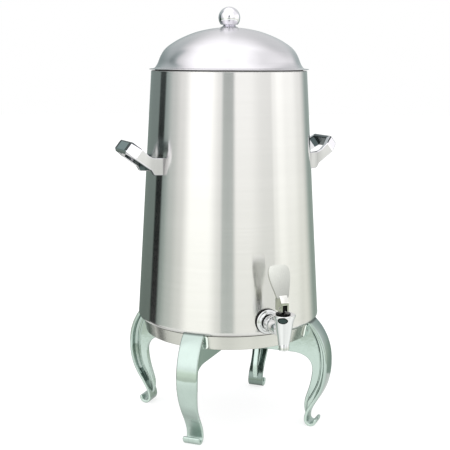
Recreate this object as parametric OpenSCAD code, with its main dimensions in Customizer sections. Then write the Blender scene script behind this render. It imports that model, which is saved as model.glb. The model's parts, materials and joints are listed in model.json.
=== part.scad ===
// Insulated coffee urn: double-wall tapered body on a four-legged cast stand,
// lift-off domed lid with a ball knob, two fixed loop handles and a lever tap.
// Millimetres, +Z up, floor at Z = 0, tap towards -Y, handles on +X and -X.

/* [Body] */
// Thickness of the outer jacket sheet
shell_t = 1.2; // [1.0:0.1:1.4]
// Thickness of the inner vessel sheet
vessel_t = 1.0; // [0.8:0.1:1.2]
// Gap between the jacket and the inner vessel
vacuum_gap = 11; // [10:0.5:12]

/* [Lid and handles] */
// Outer radius of the thin brim
brim_r = 128.9; // [128:0.1:130]
// Radius of the ball knob
knob_r = 17.4; // [16.8:0.1:17.8]
// Half the width of each handle's loop
handle_half_w = 39.5; // [38:0.5:41]

/* [Stand] */
// Thickness of the wide outer ribbon of each leg
ribbon_t = 5.5; // [5:0.1:6]
// Thickness of the web behind the ribbon
web_t = 9; // [8:0.5:10]
// Width of the ribbon where it meets the jacket
ribbon_w = 35; // [34:0.5:36]

/* [Tap] */
// Widest width of the lever paddle
paddle_w = 35; // [31:1:37]
// Thickness of the lever paddle
paddle_t = 3.6; // [3:0.1:4.2]
// Bore of the spout
spout_bore_r = 5; // [4.5:0.1:5.2]

/* [Hidden] */

$fn = 96;

// ---- shared geometry ----------------------------------------------------

// outer radius of the jacket at height z: a plain cone
function jr(z) = 150.3 - 0.0606 * (z - 175);
// outer radius of the base band at height z
function br(z) = 138 + 4 * (z - 151.5) / 22;
// points of an arc in the profile plane
function arc(cx, cz, r, a0, a1, n) =
  [for (i = [0:n]) let(a = a0 + (a1 - a0) * i / n) [cx + r * cos(a), cz + r * sin(a)]];
// cubic spline through hand-placed points
function cr(p0, p1, p2, p3, t) =
  0.5 * ((2 * p1) + (p2 - p0) * t + (2 * p0 - 5 * p1 + 4 * p2 - p3) * t * t
         + (3 * p1 - p0 - 3 * p2 + p3) * t * t * t);
function spline(p, n) = concat(
  [for (i = [0:len(p) - 2]) for (k = [0:n - 1])
    let(a = p[max(i - 1, 0)], b = p[i], c = p[i + 1], d = p[min(i + 2, len(p) - 1)])
      cr(a, b, c, d, k / n)],
  [p[len(p) - 1]]);
// the same line moved sideways by t, to its right-hand side
function unit(v) = v / norm(v);
function side(p, t) = [for (i = [0:len(p) - 1])
  let(d = unit(p[min(i + 1, len(p) - 1)] - p[max(i - 1, 0)])) [p[i][0] + t * d[1], p[i][1] - t * d[0]]];
function rev(p) = [for (i = [len(p) - 1:-1:0]) p[i]];

body_top = 577.6;       // top edge of the jacket
body_low = 175;         // underside of the jacket
tap_z = 198;            // height of the tap's shank
tap_y = -202.5;         // the tap's stem, in front of the axis
nose_y = -205.8;        // centre of the tap body's tapered nose

// rod along +Y starting at y0
module rod_y(r, y0, y1, x = 0, z = tap_z) {
  translate([x, y0, z]) rotate([-90, 0, 0]) cylinder(r = r, h = y1 - y0);
}
// solid of the jacket's outside, grown by g
module jacket_solid(g, z0 = 182, z1 = 577.6) {
  rotate_extrude($fn = 180) polygon([[0, z0], [jr(z0) + g, z0], [jr(z1) + g, z1], [0, z1]]);
}

// ---- body ----------------------------------------------------------------

module outer_shell() {
  color([0.80, 0.79, 0.77])
  difference() {
    rotate_extrude($fn = 180) polygon(concat(
      [[139.4, body_low]],
      arc(jr(182) - 7, 182, 7, -90, 0, 7),
      [[jr(body_top), body_top], [jr(body_top) - shell_t, body_top]],
      rev(arc(jr(182) - 7, 182, 7 - shell_t, -90, 0, 7)),
      [[139.4, body_low + shell_t]]));
    rod_y(10.55, -160, -130);
  }
}

module mouth_ring() {
  color([0.74, 0.74, 0.73])
  rotate_extrude($fn = 180) polygon([
    [jr(body_top), 577.7], [jr(body_top) - 0.4, 578.7], [jr(body_top) - 1.2, 578.9],
    [108, 578.9], [106.8, 578.3], [106.4, 577.2],
    [106.4, 554], [107.6, 554], [107.6, 576.6], [108.7, 577.7]]);
}

module inner_vessel() {
  g = shell_t + vacuum_gap;
  t = vessel_t;
  color([0.72, 0.72, 0.71])
  difference() {
    rotate_extrude($fn = 180) polygon(concat(
      [[0, 176.5]],
      arc(jr(185) - g - 8, 184.5, 8, -90, 0, 6),
      [[jr(532) - g, 532], [jr(532) - g - 2.5, 539], [109.6, 550], [107.65 + t, 553], [107.65 + t, 566]],
      [[107.65, 566], [107.65, 553.5], [108.8, 549.4], [jr(532) - g - t - 2.2, 538.4], [jr(532) - g - t, 531.8]],
      rev(arc(jr(185) - g - 8, 184.5, 8 - t, -90, 0, 6)),
      [[0, 176.5 + t]]));
    rod_y(10.55, -145, -120);
  }
}

module tap_sleeve() {
  color([0.72, 0.72, 0.71])
  intersection() {
    difference() {
      rod_y(10.5, -149, -135);
      rod_y(9.5, -160, -120);
    }
    difference() {
      jacket_solid(-0.05, 184.6, 220);
      rotate_extrude($fn = 180) polygon([[0, 180],
        [jr(180) - shell_t - vacuum_gap - vessel_t + 0.05, 180],
        [jr(230) - shell_t - vacuum_gap - vessel_t + 0.05, 230], [0, 230]]);
    }
  }
}

module vacuum_pan() {
  color([0.72, 0.72, 0.71])
  difference() {
    rotate_extrude($fn = 180) polygon(concat(
      [[0, 164]], arc(130, 168, 4, -90, 0, 4),
      [[134, 173.6], [139.2, 173.6], [139.2, 174.9], [132.8, 174.9]],
      rev(arc(130, 168, 2.8, -90, 0, 4)), [[0, 165.2]]));
    translate([0, 45, 160]) cylinder(r = 4, h = 10);
  }
}

module seal_cap() {
  color([0.70, 0.70, 0.69])
  translate([0, 45, 0]) rotate_extrude($fn = 48)
    polygon([[0, 160.4], [6, 160.4], [7, 161.4], [7, 163.9], [3.9, 163.9], [3.9, 165.6], [0, 165.6]]);
}

module seam_gasket() {
  color([0.06, 0.06, 0.06])
  rotate_extrude($fn = 180) polygon([[139.5, 173.6], [142.5, 173.6], [142.5, 174.95], [139.5, 174.95]]);
}

// eight radial screw axes, two to a leg
module each_leg_screw() {
  for (a = [-45, 45, 135, -135]) for (s = [-13, 13])
    rotate([0, 0, a - 90]) translate([0, s, 163]) rotate([0, 90, 0]) children();
}

module base_band() {
  color([0.80, 0.79, 0.77])
  difference() {
    rotate_extrude($fn = 180) polygon(concat(
      [[129, 151.4]], arc(136.0, 153.4, 2, -90, -10, 4),
      [[br(173.5), 173.5], [br(173.5) - 1.2, 173.5]],
      [[136.8, 153.5], [136.0, 152.6], [129, 152.6]]));
    each_leg_screw() cylinder(r = 2.6, h = 160, $fn = 24);
  }
}

module base_plate() {
  color([0.55, 0.55, 0.54])
  difference() {
    translate([0, 0, 152.65]) cylinder(r = 135.4, h = 1.5, $fn = 180);
    cylinder(r = 4.2, h = 200, $fn = 32);
    for (a = [0:60:300]) rotate([0, 0, a + 15]) translate([90, 0, 140]) cylinder(r = 4, h = 20, $fn = 24);
  }
}

// ---- lid -------------------------------------------------------------------

// outside of the dome, brim first
dome = spline([[119.6, 583.6], [117.2, 586.6], [114.9, 591], [112.8, 597], [110.2, 602.8], [106.2, 609.5], [101, 615.2],
               [93.6, 620.8], [82.6, 627.5], [68, 634.3], [50, 640.7], [30, 645], [14, 646.9]], 3);

module lid_dome() {
  t = 1.2;
  color([0.80, 0.80, 0.81])
  rotate_extrude($fn = 180) polygon(concat(
    [[brim_r - 0.5, 580.5], [brim_r, 581.0], [brim_r - 0.3, 581.6], [124, 582.1]],
    dome, [[4.1, 647.2]],
    [[4.1, 646]], rev(side(dome, -t)), [[118, 582.3], [118, 580.4]]));
}

module lid_liner() {
  color([0.74, 0.74, 0.74])
  rotate_extrude($fn = 180) polygon([
    [117.7, 580.4], [117.7, 581.4], [104.6, 581.4], [103.2, 580.0], [102.6, 566.8], [101.6, 566.2], [4.2, 566.2],
    [4.2, 565.2], [102, 565.2], [103.6, 566.2], [104.2, 579.6], [105, 580.4]]);
}

module lid_gasket() {
  color([0.05, 0.05, 0.05])
  rotate_extrude($fn = 180) polygon([[109, 579.1], [119.2, 579.1], [119.6, 579.5], [119.6, 580.1], [119.3, 580.35], [109, 580.35]]);
}

module knob_collar() {
  color([0.86, 0.86, 0.87])
  rotate_extrude($fn = 72) polygon(concat(
    [[4.1, 647.3], [14.2, 647.3], [14.2, 647.7]],
    spline([[13.2, 648.2], [11.2, 648.8], [10, 650], [9.6, 651.6]], 3),
    [[4.1, 651.6]]));
}

module knob_ball() {
  color([0.88, 0.88, 0.90])
  difference() {
    translate([0, 0, 662.4]) sphere(r = knob_r, $fn = 96);
    translate([0, 0, 640]) cylinder(r = 30, h = 11.65);
    translate([0, 0, 640]) cylinder(r = 3.05, h = 28, $fn = 32);
  }
}

module knob_screw() {
  color([0.7, 0.7, 0.7])
  translate([0, 0, 557]) cylinder(r = 3, h = 110, $fn = 32);
}

module knob_washer() {
  color([0.7, 0.7, 0.7])
  translate([0, 0, 563.6]) difference() { cylinder(r = 9, h = 1.5, $fn = 48); translate([0, 0, -1]) cylinder(r = 3.2, h = 4, $fn = 32); }
}

module knob_nut() {
  color([0.7, 0.7, 0.7])
  translate([0, 0, 558.4]) difference() { cylinder(r = 5.8, h = 5.1, $fn = 6); translate([0, 0, -1]) cylinder(r = 3.02, h = 8, $fn = 32); }
}

// ---- handles -----------------------------------------------------------------

// side outline of one handle: across from the axis, and up
handle_side = [[124, 418], [141.5, 418], [143.2, 418.8], [147.5, 426], [182.4, 450.4], [185.4, 453.4], [186.4, 457.2],
               [185.6, 459.6], [177.4, 469.4], [175.4, 470.6], [172.6, 469.4], [154.6, 452], [150, 448], [144, 445.8], [124, 445]];

module handle() {
  w = handle_half_w;
  difference() {
    intersection() {
      rotate([90, 0, 0]) translate([0, 0, -60]) linear_extrude(120) polygon(handle_side);
      union() {
        // outline in the plane of the sloping arms
        translate([150, 0, 440]) rotate([0, -38, 0]) translate([0, 0, -60]) linear_extrude(120)
          polygon([[-60, -w], [20, -w], [24, -w + 1.4], [37.4, -w + 10.4], [39.2, -w + 13], [39.2, w - 13], [37.4, w - 10.4], [24, w - 1.4], [20, w], [-60, w]]);
        // wider feet against the jacket
        for (s = [0, 1]) mirror([0, s, 0]) translate([0, 0, 400]) linear_extrude(60)
          polygon([[120, 26], [146, 31], [147, w - 0.2], [136, w + 1.6], [132, w + 3.4], [120, w + 3.6]]);
      }
    }
    // opening of the loop
    translate([150, 0, 440]) rotate([0, -38, 0]) translate([0, 0, -60]) linear_extrude(120)
      polygon([[-60, -w + 8.6], [17, -w + 8.2], [30.2, -w + 16], [31.8, -w + 19], [31.8, w - 19], [30.2, w - 16], [17, w - 8.2], [-60, w - 8.6]]);
    // the jacket
    jacket_solid(0.1, 400, 460);
    // stud and setscrew holes
    for (s = [-1, 1]) {
      translate([110, s * (w - 4.5), 431.5]) rotate([0, 90, 0]) cylinder(r = 2.45, h = 29, $fn = 32);
      translate([134.5, s * (w - 4.5), 410]) cylinder(r = 1.55, h = 20, $fn = 24);
    }
  }
}

module handle_right() { color([0.86, 0.87, 0.88]) handle(); }
module handle_left() { color([0.86, 0.87, 0.88]) rotate([0, 0, 180]) handle(); }

// welded studs that each handle foot slips over
module handle_studs() {
  color([0.7, 0.7, 0.7])
  for (k = [0, 180]) for (s = [-1, 1]) rotate([0, 0, k]) difference() {
    translate([124, s * (handle_half_w - 4.5), 431.5]) rotate([0, 90, 0]) cylinder(r = 2.4, h = 14.6, $fn = 32);
    jacket_solid(0.02, 400, 460);
  }
}

// setscrews from below, each against its stud
module handle_setscrews() {
  color([0.5, 0.5, 0.5])
  for (k = [0, 180]) for (s = [-1, 1]) rotate([0, 0, k])
    translate([134.5, s * (handle_half_w - 4.5), 419]) cylinder(r = 1.5, h = 10.05, $fn = 24);
}

// ---- stand ---------------------------------------------------------------------

// outer line of a leg from the jacket down to the curled foot: across and up
leg_line = concat(
  spline([[149, 178.6], [155.4, 172], [161.4, 164.4], [166.4, 156.2], [170.6, 147.6], [174, 138], [176.6, 127],
          [177.8, 114], [177.8, 98], [175.6, 81], [171.4, 65.6], [165.4, 52.6], [158.4, 41], [152, 30.6], [147.8, 22.4], [145.7, 15.4]], 3),
  arc(150.4, 10.2, 5.2, 180, 365, 13));
// inner edge of the web, from the arm to the ankle
web_line = spline([[100, 121], [112, 121], [123, 120.6], [133, 118.2], [141.4, 113.6], [147.2, 106.6], [149.8, 98.6],
                   [149.8, 90], [148, 77], [145, 64], [141, 51.6], [138.2, 41.6], [137.4, 32], [139, 23], [143, 14]], 3);

module leg() {
  difference() {
    union() {
      // wide ribbon, narrower towards the ankle
      intersection() {
        rotate([90, 0, 0]) translate([0, 0, -30]) linear_extrude(60)
          polygon(concat(leg_line, rev(side(leg_line, ribbon_t))));
        rotate([90, 0, 90]) translate([0, 0, 120]) linear_extrude(80) polygon(concat(
          [[-ribbon_w / 2, 185]],
          spline([[-ribbon_w / 2, 112], [-17.1, 94], [-15.8, 76], [-14.2, 58], [-13.3, 42], [-13.2, 24], [-13.8, 12], [-14.2, 4], [-14.2, -4]], 2),
          rev(spline([[ribbon_w / 2, 112], [17.1, 94], [15.8, 76], [14.2, 58], [13.3, 42], [13.2, 24], [13.8, 12], [14.2, 4], [14.2, -4]], 2)),
          [[ribbon_w / 2, 185]]));
      }
      // rounded end of the curl
      translate([150.4 + (5.2 + ribbon_t / 2) * cos(5), 0, 10.2 + (5.2 + ribbon_t / 2) * sin(5)]) rotate([90, 0, 0]) cylinder(r = ribbon_t / 2, h = 27.4, center = true, $fn = 32);
      // web and the arm under the base
      rotate([90, 0, 0]) translate([0, 0, -web_t / 2]) linear_extrude(web_t) polygon(concat(
        [[20.1, 151.2], [20.1, 121]], web_line,
        [[142.8, 18], [145, 27.4], [148.6, 33], [155, 43.2], [161.8, 54.6], [167.4, 67], [171.5, 81.8], [173.6, 98.2], [173.6, 114], [172.4, 126.4],
         [170, 136.8], [166.8, 146], [162.8, 154], [158, 161.8], [152.4, 169], [147, 174], [140, 174], [139, 151.2]]));
      // raised bead along the web
      rotate([90, 0, 0]) translate([0, 0, -web_t / 2 - 1.2]) linear_extrude(web_t + 2.4) polygon(concat(
        bead_line, rev(side(bead_line, 2.4))));
      // mounting pad on the band
      intersection() {
        translate([130, -21, 152.2]) cube([15.4, 42, 22.2]);
        translate([0, 0, 150]) cylinder(r = 145.2, h = 30, $fn = 180);
      }
    }
    // room for the jacket, the seam and the band
    rotate_extrude($fn = 180) polygon([[0, 151.3], [br(151.5) - 2, 151.3], [br(153.5) + 0.1, 153], [br(173.5) + 0.15, 173.5], [142.8, 173.6],
      [143.4, 174.85], [146, 175.3], [148.3, 176.9], [149.6, 179.2], [150, 182], [150, 190], [0, 190]]);
    // flat sole
    translate([100, -30, -10]) cube([100, 60, 10]);
    // screw holes in the pad
    for (s = [-13, 13]) translate([130, s, 163]) rotate([0, 90, 0]) cylinder(r = 2.05, h = 14, $fn = 24);
  }
}
bead_line = spline([[148, 168], [156, 160], [161.8, 149], [165.6, 137], [167.6, 124], [168, 110], [167, 96], [164.4, 82], [159.8, 68],
                    [153.4, 55], [146.8, 43], [142.2, 33]], 3);

module leg_front_left() { color([0.74, 0.78, 0.76]) rotate([0, 0, -135]) leg(); }
module leg_front_right() { color([0.74, 0.78, 0.76]) rotate([0, 0, -45]) leg(); }
module leg_rear_right() { color([0.74, 0.78, 0.76]) rotate([0, 0, 45]) leg(); }
module leg_rear_left() { color([0.74, 0.78, 0.76]) rotate([0, 0, 135]) leg(); }

module stand_hub() {
  color([0.70, 0.73, 0.72])
  difference() {
    rotate([0, 0, 45]) translate([-20, -20, 121]) cube([40, 40, 31.4]);
    translate([0, 0, 110]) cylinder(r = 4.1, h = 50, $fn = 32);
  }
}

module hub_bolt() {
  color([0.6, 0.6, 0.6])
  union() {
    translate([0, 0, 115]) cylinder(r = 7.4, h = 5.9, $fn = 6);
    translate([0, 0, 120]) cylinder(r = 4, h = 42, $fn = 32);
  }
}

module hub_nut() {
  color([0.6, 0.6, 0.6])
  translate([0, 0, 154.3]) difference() { cylinder(r = 7.4, h = 6.5, $fn = 6); translate([0, 0, -1]) cylinder(r = 4.02, h = 9, $fn = 32); }
}

module leg_screws() {
  color([0.6, 0.6, 0.6])
  each_leg_screw() union() {
    translate([0, 0, 134.8]) cylinder(r = 3.6, h = 2.2, $fn = 32);
    translate([0, 0, 136.5]) cylinder(r = 2, h = 7.1, $fn = 24);
  }
}

// ---- tap -------------------------------------------------------------------------

module tap_gasket_outer() {
  color([0.05, 0.05, 0.05])
  difference() {
    rod_y(19.7, -151.2, -144);
    rod_y(9.5, -160, -120);
    jacket_solid(0.15, 170);
  }
}

module tap_flange() {
  color([0.86, 0.87, 0.88])
  difference() {
    translate([0, -151.3, tap_z]) rotate([90, 0, 0]) rotate_extrude($fn = 96) polygon(concat(
      [[9.5, 0], [18.8, 0], [19.2, 0.4], [19.2, 1.8], [18.5, 2.7], [16.4, 3.1], [15.6, 3.7]],
      [[15.0, 5.0], [14.0, 5.6], [9.5, 5.6]]));
    rod_y(9.4, -170, -120);
  }
}

module tap_shank() {
  color([0.7, 0.7, 0.7])
  difference() {
    union() {
      rod_y(9.35, -188, -122);
    }
    rod_y(6, -200, -110);
  }
}

module tap_gasket_inner() {
  color([0.08, 0.08, 0.08])
  intersection() {
    difference() {
      rod_y(15.5, -137.5, -132);
      rod_y(9.45, -150, -110);
    }
    rotate_extrude($fn = 180) polygon([[0, 178],
      [jr(178) - shell_t - vacuum_gap - vessel_t - 0.2, 178],
      [jr(230) - shell_t - vacuum_gap - vessel_t - 0.2, 230], [0, 230]]);
  }
}

module tap_locknut() {
  color([0.72, 0.72, 0.70])
  difference() {
    translate([0, -124.4, tap_z]) rotate([90, 0, 0]) cylinder(r = 15.6, h = 7.5, $fn = 6);
    rod_y(9.4, -150, -110);
  }
}

module coupling_washer() {
  color([0.05, 0.05, 0.05])
  difference() {
    rod_y(11.4, -160.6, -157);
    rod_y(9.4, -170, -120);
  }
}

module coupling_nut() {
  color([0.84, 0.85, 0.86])
  difference() {
    translate([0, -160.7, tap_z]) rotate([90, 0, 0]) rotate_extrude($fn = 96) polygon(
      [[9.4, 0], [11.6, 0], [12.6, 0.8], [12.6, 4.4], [13.6, 5.2], [14.2, 6.2], [14.2, 12.2], [13.4, 13.2], [9.4, 13.2]]);
    // shallow grip flutes
    for (a = [0:30:330]) translate([0, -174.6, tap_z]) rotate([0, a, 0]) translate([0, 0, 16.6]) rotate([-90, 0, 0]) cylinder(r = 3.2, h = 8, $fn = 24);
  }
}

spout_z = 167.8;       // lowest point of the spout
seat_z = 190;          // valve seat inside the tap body
cap_z = 222.9;         // top rim of the tap body
nose = [[0, 175.5], [8.2, 175.5], [13.6, 209], [14.3, 212], [15.9, 216.4], [16.8, 219.4], [17.1, 221.2], [16.7, cap_z], [0, cap_z]];

module tap_body() {
  color([0.87, 0.88, 0.89])
  difference() {
    union() {
      // tapered nose with a flared rim
      translate([0, nose_y, 0]) rotate_extrude($fn = 96) polygon(nose);
      // spout tube below the nose
      translate([0, nose_y - 0.6, spout_z]) cylinder(r = 8.1, h = 12);
      // socket towards the wall
      rod_y(12, -200, -174.1);
    }
    // chamber for the valve
    translate([0, tap_y, seat_z]) cylinder(r = 8, h = 60, $fn = 64);
    // spout bore, set forward below the seat
    translate([0, nose_y - 0.6, 150]) cylinder(r = spout_bore_r, h = 31, $fn = 64);
    translate([0, tap_y - 1, 178]) cylinder(r = 5, h = 20, $fn = 64);
    // socket bore for the shank
    rod_y(9.4, -188.2, -170);
    rod_y(6, -203, -185);
    // seat for the oval plug
    badge_solid(-0.6, 3);
  }
}

// oval column facing the front left of the nose, between two skins of the nose
module badge_solid(lo, hi, k = 1) {
  intersection() {
    translate([0, nose_y, 216.6]) rotate([0, 0, -35]) translate([0, -8, 0]) rotate([90, 0, 0]) linear_extrude(12)
      polygon([for (a = [0:12:348]) [8 * k * cos(a), 5.2 * k * sin(a)]]);
    translate([0, nose_y, 0]) rotate_extrude($fn = 96) polygon([
      [13.4 + lo, 207], [13.4 + hi, 207], [14.4 + hi, 212], [16.8 + hi, 219.4], [17.1 + hi, 222.2],
      [17.1 + lo, 222.2], [16.8 + lo, 219.4], [14.4 + lo, 212]]);
  }
}

module tap_badge() {
  color([0.10, 0.14, 0.14])
  badge_solid(-0.55, 0.25, 0.985);
}

module tap_bonnet() {
  color([0.05, 0.05, 0.05])
  difference() {
    translate([0, tap_y, 0]) rotate_extrude($fn = 72) polygon([
      [0, 212.5], [7.9, 212.5], [7.9, cap_z + 0.1], [11, cap_z + 0.1], [11.3, cap_z + 0.4], [11.3, cap_z + 1], [10.8, cap_z + 1.5], [0, cap_z + 1.5]]);
    translate([0, tap_y, 200]) cylinder(r = 2.56, h = 40, $fn = 32);
    translate([0, tap_y, 200]) cylinder(r = 6.6, h = 18, $fn = 48);
  }
}

module seat_cup() {
  color([0.75, 0.73, 0.70])
  difference() {
    translate([0, tap_y, 0]) rotate_extrude($fn = 64) polygon([
      [0, seat_z + 0.05], [6.6, seat_z + 0.05], [7.0, seat_z + 1], [7.0, 198], [6.2, 199], [0, 199]]);
    translate([0, tap_y, 193]) cylinder(r = 2.55, h = 20, $fn = 32);
  }
}

pin_z = 232.5;           // height of the lever's pin

module tap_stem() {
  color([0.75, 0.75, 0.75])
  difference() {
    translate([0, tap_y, 0]) union() {
      translate([0, 0, 193.05]) cylinder(r = 2.5, h = 38, $fn = 32);
      // shoulder under the spring
      translate([0, 0, 199.05]) cylinder(r = 6, h = 1.6, $fn = 32);
      // flat head between the cheeks
      translate([-3.4, -3.3, 227.6]) cube([6.8, 6.6, 7.2]);
    }
    translate([-10, tap_y, pin_z]) rotate([0, 90, 0]) cylinder(r = 1.53, h = 20, $fn = 24);
  }
}

// closed coil swept along its own helix
coil_turns = 5;
coil_steps = 14;
function coil_pt(i) = let(a = 360 * i / coil_steps) [5.3 * cos(a), 5.3 * sin(a), 201.3 + 15.4 * i / (coil_turns * coil_steps)];
function coil_ring(i, r, n) =
  let(a = 360 * i / coil_steps, c = coil_pt(i), u = [cos(a), sin(a), 0], v = [0, 0, 1])
    [for (k = [0:n - 1]) c + r * cos(360 * k / n) * u + r * sin(360 * k / n) * v];
module tap_spring() {
  m = coil_turns * coil_steps;
  n = 8;
  pts = [for (i = [0:m]) for (p = coil_ring(i, 0.45, n)) p];
  faces = concat(
    [[for (k = [0:n - 1]) k]],
    [for (i = [0:m - 1]) for (k = [0:n - 1]) [i * n + k, (i + 1) * n + k, (i + 1) * n + (k + 1) % n, i * n + (k + 1) % n]],
    [[for (k = [n - 1:-1:0]) m * n + k]]);
  color([0.7, 0.7, 0.7]) translate([0, tap_y, 0]) polyhedron(points = pts, faces = faces, convexity = 8);
}

module lever_pin() {
  color([0.75, 0.75, 0.75])
  translate([-6.9, tap_y, pin_z]) rotate([0, 90, 0]) cylinder(r = 1.5, h = 13.8, $fn = 24);
}

// half outline of the paddle: half width at each height along it
paddle_edge = spline([[8.4, -3], [10.2, -1], [11.2, 3], [12.5, 8.4], [14.3, 14.6], [16.2, 22], [17.4, 29.6], [17.5, 35.6], [16.4, 41.6], [13.6, 45.4], [9, 47.2], [0, 48]], 3);

module tap_lever() {
  k = paddle_w / 35;
  color([0.84, 0.85, 0.86])
  difference() {
    union() {
      // block with a sloping top
      rotate([90, 0, 90]) translate([0, 0, -6.3]) linear_extrude(12.6)
        polygon([[tap_y - 6, 226.8], [tap_y + 12.6, 226.8], [tap_y + 14, 228.2], [tap_y + 14, 243.4], [tap_y + 12.8, 245.6], [tap_y + 7.2, 251.2], [tap_y + 1.4, 250.6],
                 [tap_y - 5.4, 242], [tap_y - 6, 240.4]]);
      // paddle leaning back
      translate([0, tap_y + 3.4, 249]) rotate([-21, 0, 0]) translate([0, paddle_t / 2, 0]) rotate([90, 0, 0])
        linear_extrude(paddle_t) polygon(concat([for (p = paddle_edge) [p[0] * k, p[1]]], [for (p = rev(paddle_edge)) [-p[0] * k, p[1]]]));
    }
    // slot for the stem's head, open below and to the front
    translate([-3.9, tap_y - 20, 220]) cube([7.8, 25.2, 16.8]);
    // pin holes
    translate([-10, tap_y, pin_z]) rotate([0, 90, 0]) cylinder(r = 1.53, h = 20, $fn = 24);
  }
}

// ---- assembly ----------------------------------------------------------------------

outer_shell();
mouth_ring();
inner_vessel();
vacuum_pan();
seal_cap();
tap_sleeve();
seam_gasket();
base_band();
base_plate();
lid_dome();
lid_liner();
lid_gasket();
knob_ball();
knob_collar();
knob_screw();
knob_washer();
knob_nut();
handle_left();
handle_right();
handle_studs();
handle_setscrews();
leg_front_left();
leg_front_right();
leg_rear_left();
leg_rear_right();
stand_hub();
hub_bolt();
hub_nut();
leg_screws();
tap_gasket_outer();
tap_flange();
tap_shank();
tap_gasket_inner();
tap_locknut();
coupling_washer();
coupling_nut();
tap_body();
tap_bonnet();
tap_badge();
seat_cup();
tap_stem();
tap_spring();
lever_pin();
tap_lever();
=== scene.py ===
import json
import math

import bmesh
import bpy
import numpy as np
from mathutils import Matrix, Vector

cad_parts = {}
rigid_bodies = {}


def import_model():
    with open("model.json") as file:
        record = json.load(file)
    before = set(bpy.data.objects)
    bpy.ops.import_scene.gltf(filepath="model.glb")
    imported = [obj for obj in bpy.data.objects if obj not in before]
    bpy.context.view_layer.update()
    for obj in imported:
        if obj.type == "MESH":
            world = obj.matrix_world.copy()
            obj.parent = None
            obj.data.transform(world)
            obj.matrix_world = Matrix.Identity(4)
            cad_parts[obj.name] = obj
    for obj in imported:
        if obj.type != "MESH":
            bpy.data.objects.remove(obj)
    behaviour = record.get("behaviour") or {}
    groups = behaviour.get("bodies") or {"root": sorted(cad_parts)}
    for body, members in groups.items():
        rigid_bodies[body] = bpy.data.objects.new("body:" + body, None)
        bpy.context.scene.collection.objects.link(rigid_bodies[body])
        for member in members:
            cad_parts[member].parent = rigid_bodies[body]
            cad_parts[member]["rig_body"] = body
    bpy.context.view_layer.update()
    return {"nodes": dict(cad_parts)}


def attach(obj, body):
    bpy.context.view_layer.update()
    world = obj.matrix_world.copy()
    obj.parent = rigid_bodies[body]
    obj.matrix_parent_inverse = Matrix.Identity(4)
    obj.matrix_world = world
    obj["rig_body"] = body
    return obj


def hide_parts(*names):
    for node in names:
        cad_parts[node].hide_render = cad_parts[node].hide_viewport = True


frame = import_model()
NODES = frame["nodes"]
MM = 0.001
CAM_AZ = math.radians(23.92)          # the camera stands this far to the left of the tap


# ---------------------------------------------------------------- node helpers

class Tree:
    """Short names for building a node tree."""

    def __init__(self, nt):
        self.nt = nt
        self.n = nt.nodes
        self.n.clear()

    def add(self, kind, **props):
        node = self.n.new(kind)
        for k, v in props.items():
            setattr(node, k, v)
        return node

    def put(self, socket, value):
        if isinstance(value, bpy.types.NodeSocket):
            self.nt.links.new(value, socket)
        else:
            socket.default_value = value

    def math(self, op, a, b=0.0, c=0.0, clamp=False):
        node = self.add("ShaderNodeMath", operation=op, use_clamp=clamp)
        self.put(node.inputs[0], a)
        self.put(node.inputs[1], b)
        if op in ("MULTIPLY_ADD", "SMOOTH_MIN", "SMOOTH_MAX"):
            self.put(node.inputs[2], c)
        return node.outputs[0]

    def step(self, v, a, b, lo=0.0, hi=1.0, smooth=True):
        node = self.add("ShaderNodeMapRange", clamp=True)
        node.interpolation_type = "SMOOTHSTEP" if smooth else "LINEAR"
        self.put(node.inputs["Value"], v)
        self.put(node.inputs["From Min"], a)
        self.put(node.inputs["From Max"], b)
        self.put(node.inputs["To Min"], lo)
        self.put(node.inputs["To Max"], hi)
        return node.outputs["Result"]

    def stair(self, v, first, edges):
        """A value that starts at first and moves to each edge's new value between its two positions."""
        out, was = self.math("ADD", first, 0.0), first
        for a, b, new in edges:
            out = self.math("MULTIPLY_ADD", self.step(v, a, b), new - was, out)
            was = new
        return out

    def blend(self, a, b, fac):
        return self.math("MULTIPLY_ADD", self.math("SUBTRACT", b, a), fac, a)

    def mix(self, fac, a, b):
        node = self.add("ShaderNodeMix", data_type="RGBA")
        self.put(node.inputs[0], fac)
        self.put(node.inputs[6], a)
        self.put(node.inputs[7], b)
        return node.outputs[2]

    def scale_rgb(self, color, v):
        node = self.add("ShaderNodeVectorMath", operation="SCALE")
        self.put(node.inputs[0], color)
        self.put(node.inputs[3], v)
        return node.outputs[0]

    def mul_rgb(self, a, b):
        node = self.add("ShaderNodeVectorMath", operation="MULTIPLY")
        self.put(node.inputs[0], a)
        self.put(node.inputs[1], b)
        return node.outputs[0]

    def mapping(self, vec, scale, loc=(0, 0, 0), rot=(0, 0, 0)):
        node = self.add("ShaderNodeMapping")
        self.put(node.inputs["Vector"], vec)
        node.inputs["Scale"].default_value = scale
        node.inputs["Location"].default_value = loc
        node.inputs["Rotation"].default_value = rot
        return node.outputs[0]

    def noise(self, vec, scale=1.0, detail=3.0, rough=0.55, distort=0.0):
        node = self.add("ShaderNodeTexNoise")
        self.put(node.inputs["Vector"], vec)
        node.inputs["Scale"].default_value = scale
        node.inputs["Detail"].default_value = detail
        node.inputs["Roughness"].default_value = rough
        node.inputs["Distortion"].default_value = distort
        return node.outputs["Fac"]

    def bump(self, height, strength, distance, normal=None):
        node = self.add("ShaderNodeBump")
        node.inputs["Strength"].default_value = strength
        node.inputs["Distance"].default_value = distance
        self.put(node.inputs["Height"], height)
        if normal is not None:
            self.put(node.inputs["Normal"], normal)
        return node.outputs["Normal"]


def rgb(r, g, b):
    return (r, g, b, 1.0)


def new_material(name):
    m = bpy.data.materials.new(name)
    m.use_nodes = True
    t = Tree(m.node_tree)
    out = t.add("ShaderNodeOutputMaterial")
    p = t.add("ShaderNodeBsdfPrincipled")
    t.put(out.inputs["Surface"], p.outputs["BSDF"])
    obj = t.add("ShaderNodeTexCoord").outputs["Object"]
    return m, t, p, obj


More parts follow.
